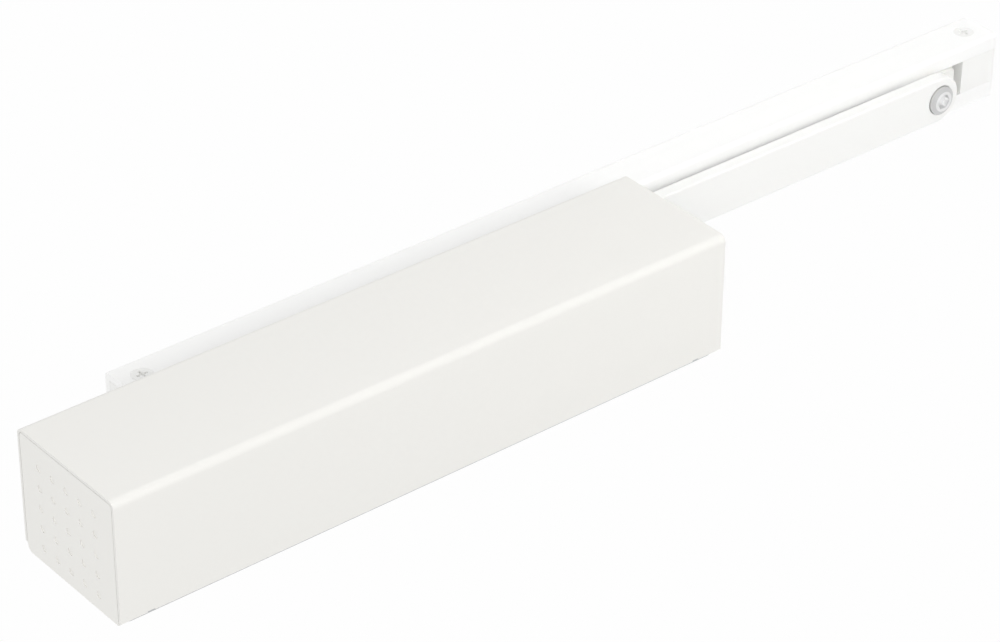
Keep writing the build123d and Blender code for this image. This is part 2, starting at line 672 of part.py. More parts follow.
def end_cap(side):
    """A moulded end cap with a skirt inside the shell; side is +1 at the right end and -1 at the left."""
    half_height = cover_inside - cap_seam
    depth = cover_depth - cover_wall - cap_seam
    edge_radius = cover_edge_radius - cover_wall - cap_seam
    with BuildPart() as cap:
        with BuildSketch(on_end(side, 0)) as face:
            with Locations((-cap_back_gap, 0)):
                Rectangle(depth - cap_back_gap, 2 * half_height, align=(Align.MAX, Align.CENTER))
            fillet(face.vertices().group_by(Axis.X)[0], edge_radius)
            door_corners = face.vertices().group_by(Axis.X)[-1].sort_by(Axis.Y, reverse=side < 0)
            fillet(door_corners[-1], cover_corner_radius)
        extrude(amount=-cap_thickness)
        with BuildSketch(on_end(side, -cap_thickness)) as skirt:
            with Locations((-plate_thickness - cap_slide_gap, 0)):
                Rectangle(
                    depth - plate_thickness - cap_slide_gap, 2 * half_height, align=(Align.MAX, Align.CENTER)
                )
            fillet(skirt.vertices().group_by(Axis.X)[0], edge_radius)
            Rectangle(
                depth - cap_skirt_wall,
                2 * (half_height - cap_skirt_wall),
                align=(Align.MAX, Align.CENTER),
                mode=Mode.SUBTRACT,
            )
        extrude(amount=-cap_skirt_length)
        with BuildSketch(on_end(side, 0)):
            with Locations((-spindle_depth, 0)):
                with GridLocations(dimple_pitch, dimple_pitch, dimple_count, dimple_count):
                    Circle(dimple_radius)
        extrude(amount=-dimple_depth, mode=Mode.SUBTRACT)
    return cap


end_cap_left = end_cap(-1)
end_cap_left.part.label = "end_cap_left"
export_step(end_cap_left.part, "parts/end_cap_left.step")

end_cap_right = end_cap(1)
end_cap_right.part.label = "end_cap_right"
export_step(end_cap_right.part, "parts/end_cap_right.step")


def cam_piston(roller_x, side, crown):
    """A piston with two cheeks for its roller's pin; its crown lies toward +X or, with side -1, toward -X."""
    length = cheek_reach + slot_floor + crown
    with BuildPart() as piston:
        with BuildSketch(on_bore(roller_x - side * cheek_reach, side)):
            Circle(bore_radius - running_gap)
        extrude(amount=length)
        with BuildSketch(on_bore(roller_x - side * cheek_reach, side)):
            Rectangle(2 * bore_radius, 2 * cheek_slot)
        extrude(amount=cheek_reach + slot_floor, mode=Mode.SUBTRACT)
        with BuildSketch(on_bore(roller_x + side * (slot_floor + crown), -side)):
            Circle(crown_recess_radius)
        extrude(amount=crown_recess_depth, mode=Mode.SUBTRACT)
        with BuildSketch(on_bore(roller_x + side * (slot_floor + crown), -side)):
            Circle(check_valve_radius + seat_gap)
        extrude(amount=crown, mode=Mode.SUBTRACT)
        with BuildSketch(on_bore(roller_x + side * (slot_floor + piston_groove_x), side)):
            Circle(bore_radius)
            Circle(bore_radius - running_gap - piston_groove_depth, mode=Mode.SUBTRACT)
        extrude(amount=piston_groove_width, mode=Mode.SUBTRACT)
        with BuildSketch(Plane(origin=(roller_x, -spindle_depth, -bore_radius))):
            Circle(roller_pin_radius + seat_gap)
        extrude(amount=2 * bore_radius, mode=Mode.SUBTRACT)
    return piston


def cam_roller(roller_x):
    """A hardened roller that runs on the cam and turns on its pin."""
    with BuildPart() as roller:
        with BuildSketch(Plane(origin=(roller_x, -spindle_depth, -roller_length / 2))):
            Circle(roller_radius)
            Circle(roller_pin_radius + running_gap, mode=Mode.SUBTRACT)
        extrude(amount=roller_length)
    return roller


def roller_pin(roller_x):
    """The pin through both cheeks of a piston."""
    half_length = sqrt((bore_radius - running_gap) ** 2 - roller_pin_radius**2) - pin_sunk
    with BuildPart() as pin:
        with BuildSketch(Plane(origin=(roller_x, -spindle_depth, -half_length))):
            Circle(roller_pin_radius)
        extrude(amount=2 * half_length)
    return pin


def check_valve(crown_x, side):
    """A seat with its loose poppet, set in a piston's crown; side is as the piston's."""
    seat_x = crown_x - side * (crown_recess_depth + check_valve_length)
    with BuildPart() as valve:
        with BuildSketch(on_bore(seat_x, side)):
            Circle(check_valve_radius)
        extrude(amount=check_valve_length)
        with BuildSketch(on_bore(seat_x + side * check_seat_length, side)):
            Circle(check_poppet_radius + running_gap)
        extrude(amount=check_valve_length - check_seat_length, mode=Mode.SUBTRACT)
        with BuildSketch(on_bore(seat_x, side)):
            Circle(check_valve_bore)
        extrude(amount=check_seat_length, mode=Mode.SUBTRACT)
        with BuildSketch(on_bore(seat_x + side * (check_seat_length + check_poppet_lift), side)):
            Circle(check_poppet_radius)
        extrude(amount=check_poppet_length)
    return valve


closing_piston = cam_piston(closing_roller_x, -1, closing_crown)
closing_piston.part.label = "closing_piston"
export_step(closing_piston.part, "parts/closing_piston.step")

closing_roller = cam_roller(closing_roller_x)
closing_roller.part.label = "closing_roller"
export_step(closing_roller.part, "parts/closing_roller.step")

closing_roller_pin = roller_pin(closing_roller_x)
closing_roller_pin.part.label = "closing_roller_pin"
export_step(closing_roller_pin.part, "parts/closing_roller_pin.step")

closing_check_valve = check_valve(closing_crown_x, -1)
closing_check_valve.part.label = "closing_check_valve"
export_step(closing_check_valve.part, "parts/closing_check_valve.step")

damping_piston = cam_piston(damping_roller_x, 1, damping_crown)
damping_piston.part.label = "damping_piston"
export_step(damping_piston.part, "parts/damping_piston.step")

damping_roller = cam_roller(damping_roller_x)
damping_roller.part.label = "damping_roller"
export_step(damping_roller.part, "parts/damping_roller.step")

damping_roller_pin = roller_pin(damping_roller_x)
damping_roller_pin.part.label = "damping_roller_pin"
export_step(damping_roller_pin.part, "parts/damping_roller_pin.step")

damping_check_valve = check_valve(damping_crown_x, 1)
damping_check_valve.part.label = "damping_check_valve"
export_step(damping_check_valve.part, "parts/damping_check_valve.step")


def coil_point(start, length, radius, turns, turn):
    """A point of a coil's centre line along the bore; the turns draw together toward both ends."""
    share = turn / turns
    x = start + length * (share - coil_closing / (2 * pi) * sin(2 * pi * share))
    return Vector(x, -spindle_depth + radius * cos(2 * pi * turn), radius * sin(2 * pi * turn))


def coil_direction(length, radius, turns, turn):
    """The direction of that centre line."""
    rise = length / turns * (1 - coil_closing * cos(2 * pi * turn / turns))
    run = 2 * pi * radius
    return Vector(rise, -run * sin(2 * pi * turn), run * cos(2 * pi * turn)).normalized()


def coil_spring(left, right, radius, wire, turns, name):
    """A spring wound as one tube of arc pairs, half a turn to a pair; prints its least gap to itself."""
    start = left + spring_end_gap + wire
    length = right - left - 2 * spring_end_gap - 2 * wire
    knots = [coil_point(start, length, radius, turns, n / 2) for n in range(2 * turns + 1)]
    ways = [coil_direction(length, radius, turns, n / 2) for n in range(2 * turns + 1)]
    with BuildPart() as spring:
        with BuildLine():
            for n in range(2 * turns):
                chord = knots[n + 1] - knots[n]
                both = ways[n] + ways[n + 1]
                turned = 2 * (1 - ways[n].dot(ways[n + 1]))
                ahead = chord.dot(both)
                reach = (sqrt(ahead**2 + turned * chord.dot(chord)) - ahead) / turned
                meeting = (knots[n] + knots[n + 1] + (ways[n] - ways[n + 1]) * reach) / 2
                TangentArc(knots[n], meeting, tangent=ways[n])
                TangentArc(meeting, knots[n + 1], tangent=chord - both * reach)
        with BuildSketch(Plane(origin=knots[0], x_dir=(0, 1, 0), z_dir=ways[0])):
            RegularPolygon(wire, spring_sides)
        sweep(clean=False)
    gaps = []
    for a in range(gap_steps * turns):
        for b in range(a + gap_steps // 2, gap_steps * turns):
            here = coil_point(start, length, radius, turns, a / gap_steps)
            there = coil_point(start, length, radius, turns, b / gap_steps)
            gaps.append((there - here).length - 2 * wire)
    print(f"{name}: least gap to itself {min(gaps):.2f} mm")
    return spring


main_spring = coil_spring(
    seat_right_x, closing_crown_x, spring_coil_radius, spring_wire, spring_turns, "main_spring"
)
main_spring.part.label = "main_spring"
export_step(main_spring.part, "parts/main_spring.step")

damping_return_spring = coil_spring(
    damping_crown_x - crown_recess_depth,
    plug_right_x,
    return_coil_radius,
    return_wire,
    return_turns,
    "damping_return_spring",
)
damping_return_spring.part.label = "damping_return_spring"
export_step(damping_return_spring.part, "parts/damping_return_spring.step")

# Spring seat: a disc with a threaded hub that the adjusting screw draws along the bore
with BuildPart() as spring_seat:
    with BuildSketch(on_bore(seat_left_x)):
        Circle(bore_radius - running_gap)
    extrude(amount=seat_thickness)
    with BuildSketch(on_bore(seat_right_x)):
        Circle(seat_hub_radius)
    extrude(amount=seat_hub_length)
    with BuildSketch(on_bore(seat_left_x)):
        Circle(adjuster_radius + running_gap)
    extrude(amount=seat_thickness + seat_hub_length, mode=Mode.SUBTRACT)
spring_seat.part.label = "spring_seat"
export_step(spring_seat.part, "parts/spring_seat.step")

# Force-adjusting screw: its collar bears on the spring plug, its socket faces the left end cap
with BuildPart() as force_adjusting_screw:
    with BuildSketch(on_bore(-tube_end + adjuster_sunk)):
        Circle(adjuster_radius)
    extrude(amount=end_plug_length - adjuster_sunk + adjuster_length)
    with BuildSketch(on_bore(plug_left_x + running_gap)):
        Circle(adjuster_collar_radius)
    extrude(amount=adjuster_collar_length)
    with BuildSketch(on_bore(-tube_end + adjuster_sunk)):
        RegularPolygon(adjuster_socket_flats / 2, 6, major_radius=False)
    extrude(amount=deep_socket_depth, mode=Mode.SUBTRACT)
force_adjusting_screw.part.label = "force_adjusting_screw"
export_step(force_adjusting_screw.part, "parts/force_adjusting_screw.step")


def plug_blank(side):
    """A screwed plug for the tube's right (side +1) or left (-1) end, with a groove for its seal."""
    with BuildPart() as plug:
        with BuildSketch(on_bore(side * tube_end, -side)):
            Circle(bore_radius - seat_gap)
        extrude(amount=end_plug_length)
        with BuildSketch(on_bore(side * (tube_end - plug_groove_x + plug_groove_gap), -side)):
            Circle(bore_radius)
            Circle(bore_radius - plug_seal_width - plug_groove_gap, mode=Mode.SUBTRACT)
        extrude(amount=plug_seal_width + 2 * plug_groove_gap, mode=Mode.SUBTRACT)
    return plug.part


def plug_seal(side):
    """The square-section seal in an end plug's groove."""
    with BuildPart() as seal:
        with BuildSketch(on_bore(side * (tube_end - plug_groove_x), -side)):
            Circle(bore_radius - seat_gap)
            Circle(bore_radius - seat_gap - plug_seal_width, mode=Mode.SUBTRACT)
        extrude(amount=plug_seal_width)
    return seal


with BuildPart() as spring_end_plug:
    add(plug_blank(-1))
    with BuildSketch(on_bore(-tube_end)):
        Circle(adjuster_radius + running_gap)
    extrude(amount=end_plug_length, mode=Mode.SUBTRACT)
spring_end_plug.part.label = "spring_end_plug"
export_step(spring_end_plug.part, "parts/spring_end_plug.step")

with BuildPart() as damping_end_plug:
    add(plug_blank(1))
    with BuildSketch(on_bore(tube_end, -1)):
        RegularPolygon(plug_socket_flats / 2, 6, major_radius=False)
    extrude(amount=deep_socket_depth, mode=Mode.SUBTRACT)
damping_end_plug.part.label = "damping_end_plug"
export_step(damping_end_plug.part, "parts/damping_end_plug.step")

spring_plug_seal = plug_seal(-1)
spring_plug_seal.part.label = "spring_plug_seal"
export_step(spring_plug_seal.part, "parts/spring_plug_seal.step")

damping_plug_seal = plug_seal(1)
damping_plug_seal.part.label = "damping_plug_seal"
export_step(damping_plug_seal.part, "parts/damping_plug_seal.step")

# Regulating valves: socket-headed needles in the rib, one behind the other along the tube
valve_names = ["closing_speed_valve", "latching_speed_valve", "backcheck_valve", "delayed_closing_valve"]
for valve_name, valve_x in zip(valve_names, valve_xs):
    with BuildPart() as valve:
        with BuildSketch(Plane.XZ.offset(rib_depth - valve_inset - valve_length)):
            with Locations((valve_x, valve_height)):
                Circle(valve_radius)
        extrude(amount=valve_length)
        with BuildSketch(Plane.XZ.offset(rib_depth - valve_inset - valve_length)):
            with Locations((valve_x, valve_height)):
                Circle(valve_tip_radius)
        extrude(amount=-valve_tip_length)
        with BuildSketch(Plane.XZ.offset(rib_depth - valve_inset)):
            with Locations((valve_x, valve_height)):
                RegularPolygon(valve_socket_flats / 2, 6, major_radius=False)
        extrude(amount=-socket_depth, mode=Mode.SUBTRACT)
    valve.part.label = valve_name
    export_step(valve.part, f"parts/{valve_name}.step")
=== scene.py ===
"""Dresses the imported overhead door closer: finishes, small fasteners, soft light and camera."""

from __future__ import annotations

import logging
import math
from dataclasses import dataclass
from enum import Enum, IntEnum

import bmesh
import bpy
from mathutils import Matrix, Vector


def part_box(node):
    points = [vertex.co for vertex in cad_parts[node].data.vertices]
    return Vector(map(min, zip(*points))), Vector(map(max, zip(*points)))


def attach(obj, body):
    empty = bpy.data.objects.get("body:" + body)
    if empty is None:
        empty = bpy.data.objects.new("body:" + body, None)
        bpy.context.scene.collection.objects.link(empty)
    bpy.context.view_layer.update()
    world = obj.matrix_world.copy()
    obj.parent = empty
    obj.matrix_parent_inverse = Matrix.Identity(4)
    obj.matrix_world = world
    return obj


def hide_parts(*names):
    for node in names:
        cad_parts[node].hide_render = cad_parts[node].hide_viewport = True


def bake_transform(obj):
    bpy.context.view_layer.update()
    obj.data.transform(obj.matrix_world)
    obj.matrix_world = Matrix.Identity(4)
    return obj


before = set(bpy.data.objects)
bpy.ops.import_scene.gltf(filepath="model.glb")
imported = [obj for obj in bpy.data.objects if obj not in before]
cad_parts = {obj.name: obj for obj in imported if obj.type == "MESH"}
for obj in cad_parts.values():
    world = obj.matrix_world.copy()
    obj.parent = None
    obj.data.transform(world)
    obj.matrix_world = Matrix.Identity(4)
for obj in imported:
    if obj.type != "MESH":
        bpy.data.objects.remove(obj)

log = logging.getLogger("door_closer")

MM = 0.001
MERGE_DISTANCE = 0.001 * MM
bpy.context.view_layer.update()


class Axis(Enum):
    """An axis of the closer: X along it, Y into the door, Z up towards the arm."""

    X = (1.0, 0.0, 0.0)
    Y = (0.0, 1.0, 0.0)
    Z = (0.0, 0.0, 1.0)


class MixInput(IntEnum):
    """The Mix node's inputs, which share their names and so are found by number."""

    FACTOR = 0
    FLOAT_A = 2
    FLOAT_B = 3
    COLOUR_A = 6
    COLOUR_B = 7


class MixOutput(IntEnum):
    """The Mix node's outputs."""

    FLOAT = 0
    COLOUR = 2


def linear(colour: str) -> tuple[float, float, float, float]:
    """Turns an sRGB hex colour to linear light, by the sRGB standard's curve.

    Args:
        colour: Six hex digits after a hash sign.

    Returns:
        Linear red, green and blue, and an alpha of 1.
    """
    parts = [int(colour[start : start + 2], 16) / 255 for start in (1, 3, 5)]
    bright = [
        part / 12.92 if part <= 0.04045 else ((part + 0.055) / 1.055) ** 2.4 for part in parts
    ]
    return (bright[0], bright[1], bright[2], 1.0)


def add_node(
    tree: bpy.types.NodeTree,
    kind: str,
    values: dict[str | int, object] | None = None,
    links: dict[str | int, bpy.types.NodeSocket] | None = None,
    **settings: object,
) -> bpy.types.Node:
    """Adds a shader node with its settings, its socket values and its links.

    Args:
        tree: The node tree to add to.
        kind: The node's type.
        values: Input sockets and the value that each is given.
        links: Input sockets and the output that feeds each.
        settings: Properties of the node itself.

    Returns:
        The new node.
    """
    node = tree.nodes.new(kind)
    for name, setting in settings.items():
        setattr(node, name, setting)
    for socket, value in (values or {}).items():
        node.inputs[socket].default_value = value
    for socket, source in (links or {}).items():
        tree.links.new(source, node.inputs[socket])
    return node


@dataclass(frozen=True)
class Finish:
    """A surface: its colour and gloss, and a grain that changes its height and shade a little."""

    name: str
    colour: str
    roughness: float
    grain_mm: float
    height_mm: float
    shade: float = 0.02
    metallic: float = 0.0
    grain_octaves: float = 3.0

    def material(self) -> bpy.types.Material:
        """Makes the finish's material, or finds it if it is made already.

        Returns:
            The material, ready for a slot.
        """
        found = bpy.data.materials.get(self.name)
        if found is not None:
            return found
        made = bpy.data.materials.new(self.name)
        made.use_nodes = True
        tree = made.node_tree
        shader = tree.nodes["Principled BSDF"]
        shader.inputs["Roughness"].default_value = self.roughness
        shader.inputs["Metallic"].default_value = self.metallic
        place = add_node(tree, "ShaderNodeTexCoord").outputs["Object"]
        height = self.pattern(tree, place)
        lift = {"Strength": 1.0, "Distance": self.height_mm * MM}
        bump = add_node(tree, "ShaderNodeBump", lift, {"Height": height})
        tree.links.new(bump.outputs["Normal"], shader.inputs["Normal"])
        tree.links.new(self.shaded(tree, place, height), shader.inputs["Base Color"])
        return made

    def shaded(
        self,
        tree: bpy.types.NodeTree,
        place: bpy.types.NodeSocket,
        height: bpy.types.NodeSocket,
    ) -> bpy.types.NodeSocket:
        """Adds the colour, a little duller in the grain's hollows.

        Args:
            tree: The material's node tree.
            place: The coordinates, for a finish whose colour depends on them.
            height: The grain's height, from 0 to 1.

        Returns:
            The colour.
        """
        bright = linear(self.colour)
        dull = tuple(channel * (1 - self.shade) for channel in bright[:3]) + (1.0,)
        values = {MixInput.COLOUR_A: dull, MixInput.COLOUR_B: bright}
        links = {MixInput.FACTOR: height}
        mix = add_node(tree, "ShaderNodeMix", values, links, data_type="RGBA")
        return mix.outputs[MixOutput.COLOUR]

    def pattern(
        self, tree: bpy.types.NodeTree, place: bpy.types.NodeSocket
    ) -> bpy.types.NodeSocket:
        """Returns the grain's height, from 0 to 1: plain noise, unless a finish says otherwise."""
        return self.noise(tree, place, self.grain_mm, self.grain_octaves)

    def noise(
        self,
        tree: bpy.types.NodeTree,
        place: bpy.types.NodeSocket,
        size_mm: float,
        octaves: float,
    ) -> bpy.types.NodeSocket:
        """Returns noise from 0 to 1, in blotches about size_mm wide with finer octaves on them."""
        values = {"Scale": 1 / (size_mm * MM), "Detail": octaves}
        return add_node(tree, "ShaderNodeTexNoise", values, {"Vector": place}).outputs["Fac"]


@dataclass(frozen=True)
class PowderCoat(Finish):
    """Baked powder on metal: the wide, low waves of orange peel under a fine grit."""

    grain_octaves: float = 2.0
    peel_mm: float = 2.4
    peel_octaves: float = 1.0
    peel_share: float = 0.7

    def pattern(
        self, tree: bpy.types.NodeTree, place: bpy.types.NodeSocket
    ) -> bpy.types.NodeSocket:
        """Adds orange peel with the powder's own grit on it.

        Args:
            tree: The material's node tree.
            place: The coordinates that it reads.

        Returns:
            The height, from 0 to 1.
        """
        peel = self.noise(tree, place, self.peel_mm, self.peel_octaves)
        grit = self.noise(tree, place, self.grain_mm, self.grain_octaves)
        values = {MixInput.FACTOR: self.peel_share}
        links = {MixInput.FLOAT_A: grit, MixInput.FLOAT_B: peel}
        mix = add_node(tree, "ShaderNodeMix", values, links, data_type="FLOAT")
        return mix.outputs[MixOutput.FLOAT]


@dataclass(frozen=True)
class TurnedMetal(Finish):
    """Metal off a lathe: fine rings on its ends and along its barrel, about its turning axis."""

    axis: Axis = Axis.Z
    centre_mm: tuple[float, ...] = (0.0, 0.0, 0.0)

    def pattern(
        self, tree: bpy.types.NodeTree, place: bpy.types.NodeSocket
    ) -> bpy.types.NodeSocket:
        """Adds rings whose spacing is the grain, by the distance from the axis and along it.

        Args:
            tree: The material's node tree.
            place: The coordinates that it reads.

        Returns:
            The height, from 0 to 1.
        """
        centred = {0: self.centred(tree, place)}
        axis = {1: self.axis.value}
        along = add_node(tree, "ShaderNodeVectorMath", axis, centred, operation="DOT_PRODUCT")
        reach = {0: self.radius(tree, place), 1: along.outputs["Value"]}
        travel = add_node(tree, "ShaderNodeMath", None, reach, operation="ADD").outputs[0]
        turns = {1: math.tau / (self.grain_mm * MM)}
        angle = {0: travel}
        phase = add_node(tree, "ShaderNodeMath", turns, angle, operation="MULTIPLY").outputs[0]
        wave = add_node(tree, "ShaderNodeMath", None, {0: phase}, operation="SINE").outputs[0]
        halves = {1: 0.5, 2: 0.5}
        halved = add_node(tree, "ShaderNodeMath", halves, {0: wave}, operation="MULTIPLY_ADD")
        return halved.outputs[0]

    def centred(
        self, tree: bpy.types.NodeTree, place: bpy.types.NodeSocket
    ) -> bpy.types.NodeSocket:
        """Returns the coordinates, counted from the turning axis."""
        away = {1: tuple(-part * MM for part in self.centre_mm)}
        return add_node(tree, "ShaderNodeVectorMath", away, {0: place}, operation="ADD").outputs[0]

    def radius(
        self, tree: bpy.types.NodeTree, place: bpy.types.NodeSocket
    ) -> bpy.types.NodeSocket:
        """Adds the distance from the turning axis.

        Args:
            tree: The material's node tree.
            place: The coordinates that it reads.

        Returns:
            The distance, in metres.
        """
        across = {1: tuple(1 - part for part in self.axis.value)}
        centred = {0: self.centred(tree, place)}
        flat = add_node(tree, "ShaderNodeVectorMath", across, centred, operation="MULTIPLY")
        links = {0: flat.outputs[0]}
        length = add_node(tree, "ShaderNodeVectorMath", None, links, operation="LENGTH")
        return length.outputs["Value"]


@dataclass(frozen=True)
class PaintedRingShadeMetal(TurnedMetal):
    """Turned metal with painted shade on the head's slope outside a bright ring, and a little
    painted shade in the socket inside it.
    """

    # Painted shade falls outside rim_mm, on the head's slope, and inside socket_mm, in the socket
    rim_mm: float = 4.6
    rim_painted_shade: float = 0.25
    socket_mm: float = 3.2
    socket_painted_shade: float = 0.12
    blur_mm: float = 0.1

    def shaded(
        self,
        tree: bpy.types.NodeTree,
        place: bpy.types.NodeSocket,
        height: bpy.types.NodeSocket,
    ) -> bpy.types.NodeSocket:
        """Paints shade on the colour outside the bright ring, on the slope, and a little inside
        it, in the socket.

        Args:
            tree: The material's node tree.
            place: The coordinates that the ring reads.
            height: The grain's height, from 0 to 1.

        Returns:
            The colour.
        """
        colour = super().shaded(tree, place, height)
        distance = self.radius(tree, place)
        # Each edge: its radius, and the colour's factor inside and outside it, where below 1 is
        # painted shade
        edges = (
            (self.rim_mm, 1.0, 1 - self.rim_painted_shade),
            (self.socket_mm, 1 - self.socket_painted_shade, 1.0),
        )
        for edge_mm, inside, outside in edges:
            values = {
                "From Min": (edge_mm - self.blur_mm) * MM,
                "From Max": (edge_mm + self.blur_mm) * MM,
                "To Min": inside,
                "To Max": outside,
            }
            share = add_node(tree, "ShaderNodeMapRange", values, {"Value": distance}).outputs[0]
            links = {0: colour, "Scale": share}
            scaled = add_node(tree, "ShaderNodeVectorMath", None, links, operation="SCALE")
            colour = scaled.outputs[0]
        return colour


@dataclass(frozen=True)
class BrushedMetal(Finish):
    """Rolled or drawn metal: fine streaks along one axis."""

    grain_octaves: float = 2.0
    axis: Axis = Axis.X
    streak_mm: float = 18.0

    def pattern(
        self, tree: bpy.types.NodeTree, place: bpy.types.NodeSocket
    ) -> bpy.types.NodeSocket:
        """Adds streaks as wide as the grain and streak_mm long.

        Args:
            tree: The material's node tree.
            place: The coordinates that it reads.

        Returns:
            The height, from 0 to 1.
        """
        share = self.grain_mm / self.streak_mm
        scale = {"Scale": tuple(share if part else 1.0 for part in self.axis.value)}
        drawn = add_node(tree, "ShaderNodeMapping", scale, {"Vector": place}).outputs[0]
        return self.noise(tree, drawn, self.grain_mm, self.grain_octaves)


@dataclass(frozen=True)
class CastMetal(Finish):
    """Die-cast metal, shot-blasted: small pits close together."""

    def pattern(
        self, tree: bpy.types.NodeTree, place: bpy.types.NodeSocket
    ) -> bpy.types.NodeSocket:
        """Adds pits of the grain's width.

        Args:
            tree: The material's node tree.
            place: The coordinates that it reads.

        Returns:
            The height, from 0 to 1.
        """
        values = {"Scale": 1 / (self.grain_mm * MM), "Randomness": 1.0}
        cells = add_node(tree, "ShaderNodeTexVoronoi", values, {"Vector": place}, feature="F1")
        return cells.outputs["Distance"]


def turning_centre(node: str, axis: Axis) -> tuple[float, ...]:
    """Finds where the turning axis of a round CAD node lies.

    Args:
        node: The node's name.
        axis: The direction of its turning axis.

    Returns:
        The middle of its box in millimetres, with 0 for the place along the axis.
    """
    low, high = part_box(node)
    middle_mm = (low + high) / 2 / MM
    return tuple(part * (1 - along) for part, along in zip(middle_mm, axis.value))


SPINDLE_MM = turning_centre("upper_bearing", Axis.Z)
PIVOT_MM = turning_centre("pivot_bolt", Axis.Z)
BORE_MM = turning_centre("spring_seat", Axis.X)

# Powder grit, lathe rings, grinding marks and rolling streaks are finer than this on the real
# pieces. They are drawn 0.3 to 0.5 mm wide, as coarse as they need to be to show.

# A satin, slightly warm white that keeps a soft band of light on the long rounded edge
COVER_COAT = PowderCoat(
    "cover_powder_coat", "#EBEAE6", roughness=0.36, grain_mm=0.35, height_mm=0.010, shade=0.012
)
# A cleaner white than the cover's, almost as bright as the background
ARM_COAT = PowderCoat(
    "arm_powder_coat", "#F8F8F6", roughness=0.4, grain_mm=0.35, height_mm=0.010, shade=0.01
)
# Cleaner still on the extrusion, which fades into the background
RAIL_COAT = PowderCoat(
    "rail_powder_coat", "#FDFDFC", roughness=0.4, grain_mm=0.35, height_mm=0.010, shade=0.01
)
# Lacquered screw heads, one shade off the rail, so that they only just show
SCREW_COAT = PowderCoat(
    "rail_screw_lacquer", "#F3F3F1", roughness=0.34, grain_mm=0.3, height_mm=0.006, shade=0.01
)
# Dull fine-textured moulding that takes the light a little flatter than the coated sheet
CAP_PLASTIC = Finish(
    "cap_moulded_plastic", "#F1F0EC", roughness=0.55, grain_mm=0.45, height_mm=0.016
)
# The same texture in the rail's cleaner white
PLUG_PLASTIC = Finish(
    "plug_moulded_plastic", "#F9F9F7", roughness=0.55, grain_mm=0.45, height_mm=0.016
)
# Smoother and a little waxy, as low-friction plastic is
SLIDER_PLASTIC = Finish(
    "slider_acetal", "#F2F2EE", roughness=0.34, grain_mm=0.8, height_mm=0.008
)
# Bright steel with painted shade on the slope of the bolt's head and, lighter, in its socket; the
# flat face between stays a bright ring
BOLT_STEEL = PaintedRingShadeMetal(
    "bolt_nickelled_steel",
    "#F2F2F2",
    roughness=0.34,
    grain_mm=0.4,
    height_mm=0.003,
    shade=0.05,
    metallic=1.0,
    axis=Axis.Z,
    centre_mm=PIVOT_MM,
)
# Bright bluish zinc with faint darker crystals
SCREW_STEEL = Finish(
    "screw_zinced_steel",
    "#CFD1D1",
    roughness=0.34,
    grain_mm=0.7,
    height_mm=0.006,
    shade=0.08,
    metallic=1.0,
)
# The same zinc on rolled plate, with the streaks of its rolling along the closer
PLATE_STEEL = BrushedMetal(
    "plate_zinced_steel",
    "#C9CBCC",
    roughness=0.38,
    grain_mm=0.5,
    height_mm=0.010,
    shade=0.1,
    metallic=1.0,
    axis=Axis.X,
)
# Dull grey and finely pitted
CAST_ALUMINIUM = CastMetal(
    "housing_cast_aluminium",
    "#B9BABB",
    roughness=0.5,
    grain_mm=0.8,
    height_mm=0.05,
    shade=0.12,
    metallic=1.0,
)
# Lighter than the casting, with the lathe's rings round the bore
TURNED_ALUMINIUM = TurnedMetal(
    "plug_turned_aluminium",
    "#C6C7C8",
    roughness=0.36,
    grain_mm=0.5,
    height_mm=0.005,
    shade=0.06,
    metallic=1.0,
    axis=Axis.X,
    centre_mm=BORE_MM,
)
# Darker and glossier, ground round the spindle's axis
SPINDLE_STEEL = TurnedMetal(
    "spindle_ground_steel",
    "#B8B8B9",
    roughness=0.28,
    grain_mm=0.4,
    height_mm=0.003,
    shade=0.06,
    metallic=1.0,
    axis=Axis.Z,
    centre_mm=SPINDLE_MM,
)
# The same ground steel with its rings round the long bore
PISTON_STEEL = TurnedMetal(
    "piston_ground_steel",
    "#B4B5B7",
    roughness=0.28,
    grain_mm=0.5,
    height_mm=0.003,
    shade=0.06,
    metallic=1.0,
    axis=Axis.X,
    centre_mm=BORE_MM,
)
# Dark blued wire with an oily sheen
SPRING_STEEL = BrushedMetal(
    "spring_oiled_steel",
    "#5A5C60",
    roughness=0.4,
    grain_mm=0.5,
    height_mm=0.008,
    shade=0.15,
    metallic=1.0,
    axis=Axis.Y,
)
# Brown-gold with turning marks
BRONZE = TurnedMetal(
    "bearing_turned_bronze",
    "#B98F55",
    roughness=0.36,
    grain_mm=0.4,
    height_mm=0.004,
    shade=0.08,
    metallic=1.0,
    axis=Axis.Z,
    centre_mm=SPINDLE_MM,
)
# Yellower than the bronze, with small handling stains
VALVE_BRASS = Finish(
    "valve_brass",
    "#C9A75E",
    roughness=0.34,
    grain_mm=1.6,
    height_mm=0.004,
    shade=0.1,
    metallic=1.0,
)
# Matt black that only shades at its edges
SEAL_RUBBER = Finish(
    "seal_rubber", "#1E1E1F", roughness=0.62, grain_mm=0.4, height_mm=0.012, shade=0.2
)

Coats = tuple[tuple[Finish, tuple[str, ...]], ...]


def placed_object(name: str, shape: bmesh.types.BMesh) -> bpy.types.Object:
    """Makes an object of a shape, in the scene.

    Args:
        name: The object's name.
        shape: Its mesh, in metres and already in place. It is freed here.

    Returns:
        The new object.
    """
    mesh = bpy.data.meshes.new(name)
    shape.to_mesh(mesh)
    shape.free()
    made = bpy.data.objects.new(name, mesh)
    bpy.context.scene.collection.objects.link(made)
    return made


def finished_piece(
    name: str, shape: bmesh.types.BMesh, finish: Finish
) -> bpy.types.Object:
    """Makes a piece of the closer, with its doubles merged and its faces pointing outwards.

    Args:
        name: The new piece's name.
        shape: Its mesh, in metres and already in place. It is freed here.
        finish: Its finish.

    Returns:
        The new piece.
    """
    bmesh.ops.remove_doubles(shape, verts=shape.verts, dist=MERGE_DISTANCE)
    bmesh.ops.recalc_face_normals(shape, faces=shape.faces)
    piece = placed_object(name, shape)
    piece.data.materials.append(finish.material())
    log.info("%s: %d faces", name, len(piece.data.polygons))
    return piece


